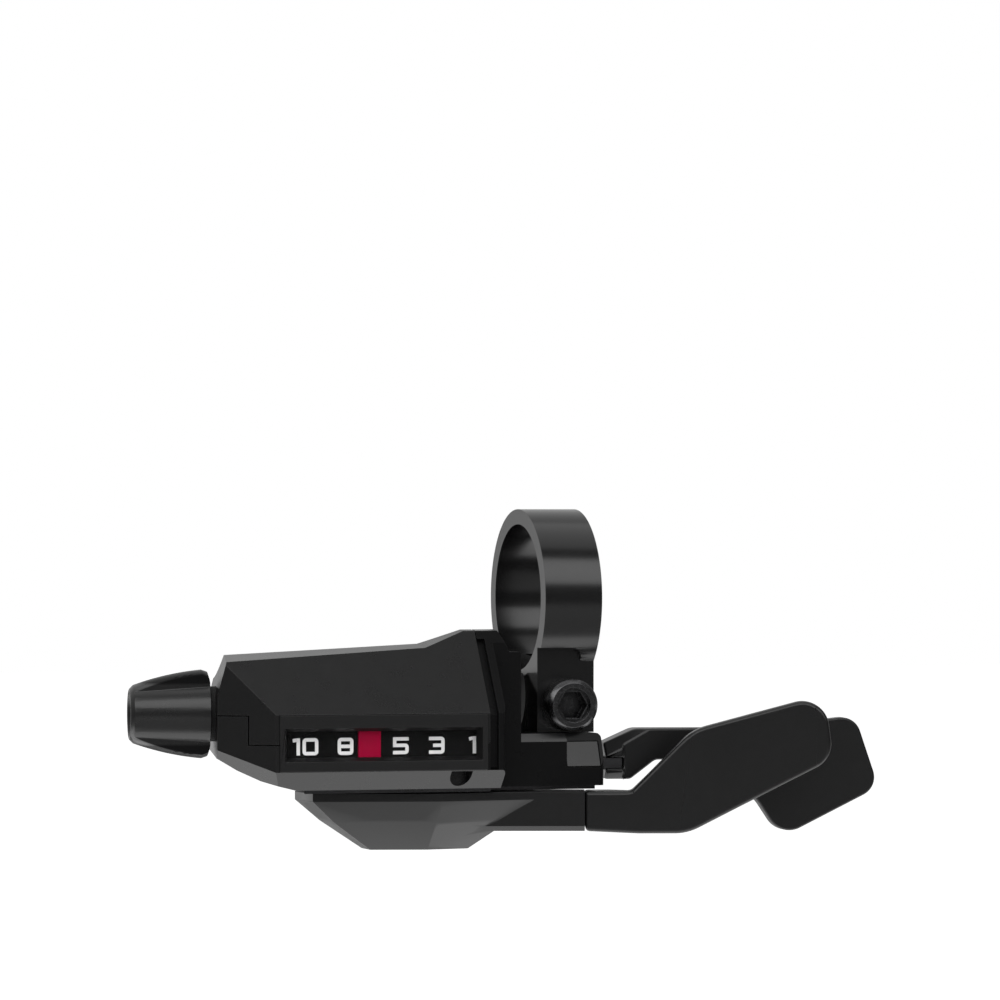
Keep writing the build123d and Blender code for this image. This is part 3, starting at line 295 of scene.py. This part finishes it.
# Painted shade in the bolt's hex socket and other recesses.
painted_recess_shade(BOLT, reach=2.5 * MM, share=0.3)
STEEL = metal("ground_steel", (0.55, 0.56, 0.58), 0.32, stretch=(1.0, 8.0, 8.0))
BRASS = metal("machined_brass", (0.72, 0.52, 0.25), 0.3, stretch=(1.0, 1.0, 6.0))

# The finish of each piece, apart from those in plain steel
FINISH = {
    "lower_housing": BODY,
    "upper_cover": SATIN,
    "cable_port_plug": SATIN,
    "window_bezel": BEZEL,
    "window_lens": LENS,
    "dial_plate": DIAL,
    "gear_pointer": POINTER,
    "clamp_band": COAT,
    "clamp_bolt": BOLT,
    "foot_screw": DARK_STEEL,
    "cover_screws": DARK_STEEL,
    "base_screws": DARK_STEEL,
    "release_plate": DARK_STEEL,
    "base_plate": DARK_STEEL,
    "pull_lever_hub": LEVER,
    "pull_paddle": LEVER,
    "release_paddle": LEVER,
    "hub_cap": LEVER,
    "barrel_adjuster": KNOB,
    "adjuster_collar": RUBBER,
    "cable_spool": SPOOL,
    "thread_insert": BRASS,
}


# Edges that the moulds and the finish leave soft, by their width in millimetres
SOFT_EDGES = {
    "lower_housing": 0.22,
    "upper_cover": 0.22,
    "cable_port_plug": 0.15,
    "window_bezel": 0.1,
    "clamp_band": 0.3,
    "clamp_bolt": 0.1,
    "pull_lever_hub": 0.3,
    "pull_paddle": 0.62,
    "release_paddle": 0.34,
    "barrel_adjuster": 0.22,
}

# Pieces whose short facet edges would hold their rounding back, so that they are welded farther
FULL_WIDTH = ("pull_paddle", "release_paddle")
FULL_WELD = 0.2 * MM
PLAIN_WELD = 0.001 * MM
FLAT_ANGLE = math.radians(0.5)
SHARP_ANGLE = math.radians(28)
EDGE_SEGMENTS = 3
FACE_WEIGHT = 100


def soften(obj, width):
    """Rounds an object's sharp edges with modifiers, so that they catch light."""
    full = obj.name in FULL_WIDTH
    weld = obj.modifiers.new("weld", "WELD")
    weld.merge_threshold = FULL_WELD if full else PLAIN_WELD
    flat = obj.modifiers.new("flat", "DECIMATE")
    flat.decimate_type = "DISSOLVE"
    flat.angle_limit = FLAT_ANGLE
    edge = obj.modifiers.new("edge", "BEVEL")
    edge.width = width * MM
    edge.segments = EDGE_SEGMENTS
    edge.limit_method = "ANGLE"
    edge.angle_limit = SHARP_ANGLE
    edge.harden_normals = False
    edge.use_clamp_overlap = not full
    edge.miter_outer = "MITER_ARC"
    even = obj.modifiers.new("even", "WEIGHTED_NORMAL")
    even.mode = "FACE_AREA"
    even.weight = FACE_WEIGHT


for name, node in nodes.items():
    node.data.materials.clear()
    node.data.materials.append(FINISH.get(name, STEEL))
    if name in SOFT_EDGES:
        soften(node, SOFT_EDGES[name])


def add_piece(name, bm, material):
    """A new object from a finished mesh, in one material."""
    mesh = bpy.data.meshes.new(name)
    bm.to_mesh(mesh)
    bm.free()
    obj = bpy.data.objects.new(name, mesh)
    scene.collection.objects.link(obj)
    mesh.materials.append(material)
    return obj


# Numbers on the dial, by their middles along X

DIAL_NUMBERS = {
    "10": -43.3 * MM,
    "8": -37.13 * MM,
    "5": -28.55 * MM,
    "3": -22.95 * MM,
    "1": -17.35 * MM,
}
NUMBER_LEVEL = -21.72 * MM
NUMBER_GAP = 0.4 * MM
STROKE = 0.52 * MM
GLYPH_WIDTH = 1.92 * MM
GLYPH_HEIGHT = 2.03 * MM
ONE_WIDTH = 1.1 * MM
CORNER = 0.3 * MM
CORNER_STEPS = 5
PAINT = 0.03 * MM
# The height of the 5's bar and the reach of the 3's bar, as shares of half a digit
FIVE_BAR = 0.05
THREE_BAR = 0.6


def round_corners(points, closed, square):
    """A path with its right-angled corners turned into short arcs, apart from those kept square."""
    count = len(points)
    path = []
    for i, point in enumerate(points):
        if i in square or not closed and i in (0, count - 1):
            path.append(point)
            continue
        before = (points[i - 1] - point).normalized()
        after = (points[(i + 1) % count] - point).normalized()
        centre = point + (before + after) * CORNER
        start = point + before * CORNER - centre
        end = point + after * CORNER - centre
        for step in range(CORNER_STEPS + 1):
            turn = start.lerp(end, step / CORNER_STEPS).normalized() * CORNER
            path.append(centre + turn)
    return path


def stroke(bm, points, closed, square):
    """A painted stroke along a path in the dial's plane, with a little thickness."""
    path = round_corners([Vector(p) for p in points], closed, square)
    count = len(path)
    rows = []
    for i, point in enumerate(path):
        before = path[i - 1] if closed or i > 0 else point
        after = path[(i + 1) % count] if closed or i < count - 1 else point
        come, go = (point - before).normalized(), (after - point).normalized()
        along = (come + go).normalized()
        mitre = max(along.dot(come), along.dot(go))
        side = Vector((-along.y, along.x)) * STROKE / 2 / mitre
        ring = []
        for offset, lift in ((side, 0.0), (side, PAINT), (-side, PAINT), (-side, 0.0)):
            spot = point + offset
            ring.append(bm.verts.new((spot.x, -lift, spot.y)))
        rows.append(ring)
    pairs = list(zip(rows, rows[1:]))
    if closed:
        pairs.append((rows[-1], rows[0]))
    else:
        bm.faces.new(rows[0])
        bm.faces.new(rows[-1][::-1])
    for first, second in pairs:
        for k in range(4):
            bm.faces.new((first[k], first[k - 1], second[k - 1], second[k]))


def glyph(digit):
    """A digit's strokes about its centre: each one's points, whether it closes, its square corners."""
    x, z = GLYPH_WIDTH / 2, GLYPH_HEIGHT / 2
    half = STROKE / 2
    stem = ONE_WIDTH / 2 - half
    bar = FIVE_BAR * z
    ring = [(-x, -z), (x, -z), (x, z), (-x, z)]
    eight_bar = [(half - x, 0), (x - half, 0)]
    five = [(x + half, z), (-x, z), (-x, bar), (x, bar), (x, -z), (-x - half, -z)]
    three = [(-x - half, z), (x, z), (x, -z), (-x - half, -z)]
    three_bar = [(-THREE_BAR * x, 0), (x - half, 0)]
    one = [(stem, z + half), (stem, -z - half)]
    one_flag = [(-ONE_WIDTH / 2, z - half / 2), (stem - half, z)]
    return {
        "0": [(ring, True, ())],
        "8": [(ring, True, ()), (eight_bar, False, ())],
        "5": [(five, False, (1, 2))],
        "3": [(three, False, ()), (three_bar, False, ())],
        "1": [(one, False, ()), (one_flag, False, ())],
    }[digit]


def draw_number(text, x):
    """One number as a thin painted mesh on the dial's front face."""
    bm = bmesh.new()
    widths = [ONE_WIDTH if digit == "1" else GLYPH_WIDTH + STROKE for digit in text]
    left = -(sum(widths) + NUMBER_GAP * (len(text) - 1)) / 2
    for digit, width in zip(text, widths):
        centre = left + width / 2
        for points, closed, square in glyph(digit):
            stroke(bm, [(centre + px, pz) for px, pz in points], closed, square)
        left += width + NUMBER_GAP
    bmesh.ops.recalc_face_normals(bm, faces=bm.faces)
    obj = add_piece("number_" + text, bm, NUMBER)
    dial_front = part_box("dial_plate")[0].y
    obj.location = (x, dial_front, NUMBER_LEVEL)
    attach(obj, "housing")


for text, x in DIAL_NUMBERS.items():
    draw_number(text, x)


# Red pointer, narrower at its left than the CAD's block, with rounded edges

POINTER_TRIM = 0.43 * MM
POINTER_EDGE = 0.13 * MM


def draw_pointer():
    """The pointer's block, in place of the CAD's."""
    low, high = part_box("gear_pointer")
    low = Vector((low[0] + POINTER_TRIM, low[1], low[2]))
    size = Vector(high) - low
    bm = bmesh.new()
    bmesh.ops.create_cube(bm, size=1.0)
    bmesh.ops.scale(bm, vec=size, verts=bm.verts)
    bmesh.ops.bevel(bm, geom=list(bm.edges), offset=POINTER_EDGE, segments=3, profile=0.5, affect="EDGES")
    obj = add_piece("pointer_tab", bm, POINTER)
    obj.location = low + size / 2
    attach(obj, "pointer")
    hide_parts("gear_pointer")


draw_pointer()


# Floor, light and camera

FLOOR_LEVEL = -0.12
FLOOR_HALF = 4.0
PHOTO_TURN = math.radians(18)
AHEAD = Vector((math.sin(PHOTO_TURN), math.cos(PHOTO_TURN), 0.0))
RIGHT = Vector((math.cos(PHOTO_TURN), -math.sin(PHOTO_TURN), 0.0))
UP = Vector((0.0, 0.0, 1.0))
BACKDROP = AHEAD * 0.6 - RIGHT * 0.45 + UP * 0.6
MIDDLE = Vector((-0.018, -0.004, -0.014))
CAMERA_PLACE = -AHEAD - RIGHT * 7.0 * MM + UP * (14.8 * MM)
LAMP_BELOW = MIDDLE - UP * 0.075 + AHEAD * 0.005
LAMP_FRONT = MIDDLE - AHEAD * 0.456 + UP * 0.39
LAMP_ABOVE = MIDDLE + AHEAD * 0.05 + UP * 0.5
LAMP_FILL = MIDDLE - AHEAD * 0.9
# The lamp below faces up, and this tilt settles which way its long side lies
BELOW_TILT = AHEAD * 0.001
# What a lamp's brightness and area are multiplied by to give its energy
LAMP_ENERGY = 4.0


def seen_white(tree, coords, direction):
    """A factor: 1 for camera and transmission rays, and rising towards a direction for glossy rays."""
    path = tree.nodes.new("ShaderNodeLightPath")
    facing = calculate(tree, VECTOR_MATH, "DOT_PRODUCT", coords, direction)
    side = ramp(tree, facing, grey(0.1), grey(0.9), start=0.1, end=1.0)
    glossy = calculate(tree, MATH, "MULTIPLY", path.outputs["Is Glossy Ray"], side)
    clear = calculate(tree, MATH, "MAXIMUM", path.outputs["Is Transmission Ray"], glossy)
    return calculate(tree, MATH, "MAXIMUM", path.outputs["Is Camera Ray"], clear)


def pale_floor():
    """A pale floor that shows as nearly white, with the object's soft shadow on it."""
    mesh = bpy.data.meshes.new("floor")
    half = FLOOR_HALF
    corners = [(-half, -half, 0), (half, -half, 0), (half, half, 0), (-half, half, 0)]
    mesh.from_pydata(corners, [], [(0, 1, 2, 3)])
    floor = bpy.data.objects.new("floor", mesh)
    scene.collection.objects.link(floor)
    floor.location.z = FLOOR_LEVEL
    mat, tree, diffuse, coords = start_material("floor_pale")
    speckle = noise(tree, coords, size=0.02, detail=4.0)
    tree.links.new(ramp(tree, speckle, grey(0.5), grey(0.54)), diffuse.inputs["Base Color"])
    diffuse.inputs["Roughness"].default_value = 0.9
    diffuse.inputs["Specular IOR Level"].default_value = 0.1
    distance = calculate(tree, VECTOR_MATH, "LENGTH", coords)
    seen = seen_white(tree, coords, AHEAD)
    near_dim = ramp(tree, distance, grey(0.62), grey(1.0), start=0.2, end=0.5)
    white = tree.nodes.new("ShaderNodeEmission")
    tree.links.new(calculate(tree, MATH, "MULTIPLY", seen, near_dim), white.inputs["Strength"])
    both = tree.nodes.new("ShaderNodeAddShader")
    tree.links.new(diffuse.outputs["BSDF"], both.inputs[0])
    tree.links.new(white.outputs["Emission"], both.inputs[1])
    tree.links.new(both.outputs["Shader"], tree.nodes["Material Output"].inputs["Surface"])
    mesh.materials.append(mat)


def studio_world():
    """A white backdrop, and a dim room for the ambient light and for reflections of its front."""
    world = bpy.data.worlds.new("studio")
    scene.world = world
    world.use_nodes = True
    tree = world.node_tree
    room = tree.nodes["Background"]
    room.inputs["Color"].default_value = grey(0.1)
    direction = tree.nodes.new("ShaderNodeTexCoord").outputs["Generated"]
    white = tree.nodes.new("ShaderNodeBackground")
    white.inputs["Color"].default_value = grey(1.0)
    mix = tree.nodes.new("ShaderNodeMixShader")
    tree.links.new(seen_white(tree, direction, BACKDROP), mix.inputs["Fac"])
    tree.links.new(room.outputs["Background"], mix.inputs[1])
    tree.links.new(white.outputs["Background"], mix.inputs[2])
    tree.links.new(mix.outputs["Shader"], tree.nodes["World Output"].inputs["Surface"])


def soft_light(name, place, target, width, height, radiance):
    """A soft rectangular light that faces a target, given by how bright its face is."""
    lamp = bpy.data.lights.new(name, "AREA")
    lamp.shape = "RECTANGLE"
    lamp.size = width
    lamp.size_y = height
    lamp.energy = LAMP_ENERGY * radiance * width * height
    obj = bpy.data.objects.new(name, lamp)
    scene.collection.objects.link(obj)
    obj.location = place
    obj.rotation_euler = (target - place).to_track_quat("-Z", "Y").to_euler()
    obj.visible_camera = False
    return obj


def photo_camera():
    """The photograph's camera: level, a metre away, turned 18 degrees about Z."""
    data = bpy.data.cameras.new("photo_camera")
    data.sensor_width = 36.0
    data.lens = 236.0
    camera = bpy.data.objects.new("photo_camera", data)
    scene.collection.objects.link(camera)
    camera.location = CAMERA_PLACE
    camera.rotation_euler = (math.radians(90), 0.0, -PHOTO_TURN)
    scene.camera = camera


pale_floor()
studio_world()
soft_light("light_below", LAMP_BELOW, LAMP_BELOW + UP + BELOW_TILT, width=0.36, height=0.11, radiance=1.5)
soft_light("light_front", LAMP_FRONT, MIDDLE, width=1.3, height=0.4, radiance=2.3)
soft_light("light_above", LAMP_ABOVE, MIDDLE, width=0.7, height=0.4, radiance=0.6)
fill = soft_light("light_fill", LAMP_FILL, MIDDLE, width=1.0, height=1.0, radiance=2.2)
fill.visible_glossy = False
photo_camera()
scene.view_settings.view_transform = "Standard"
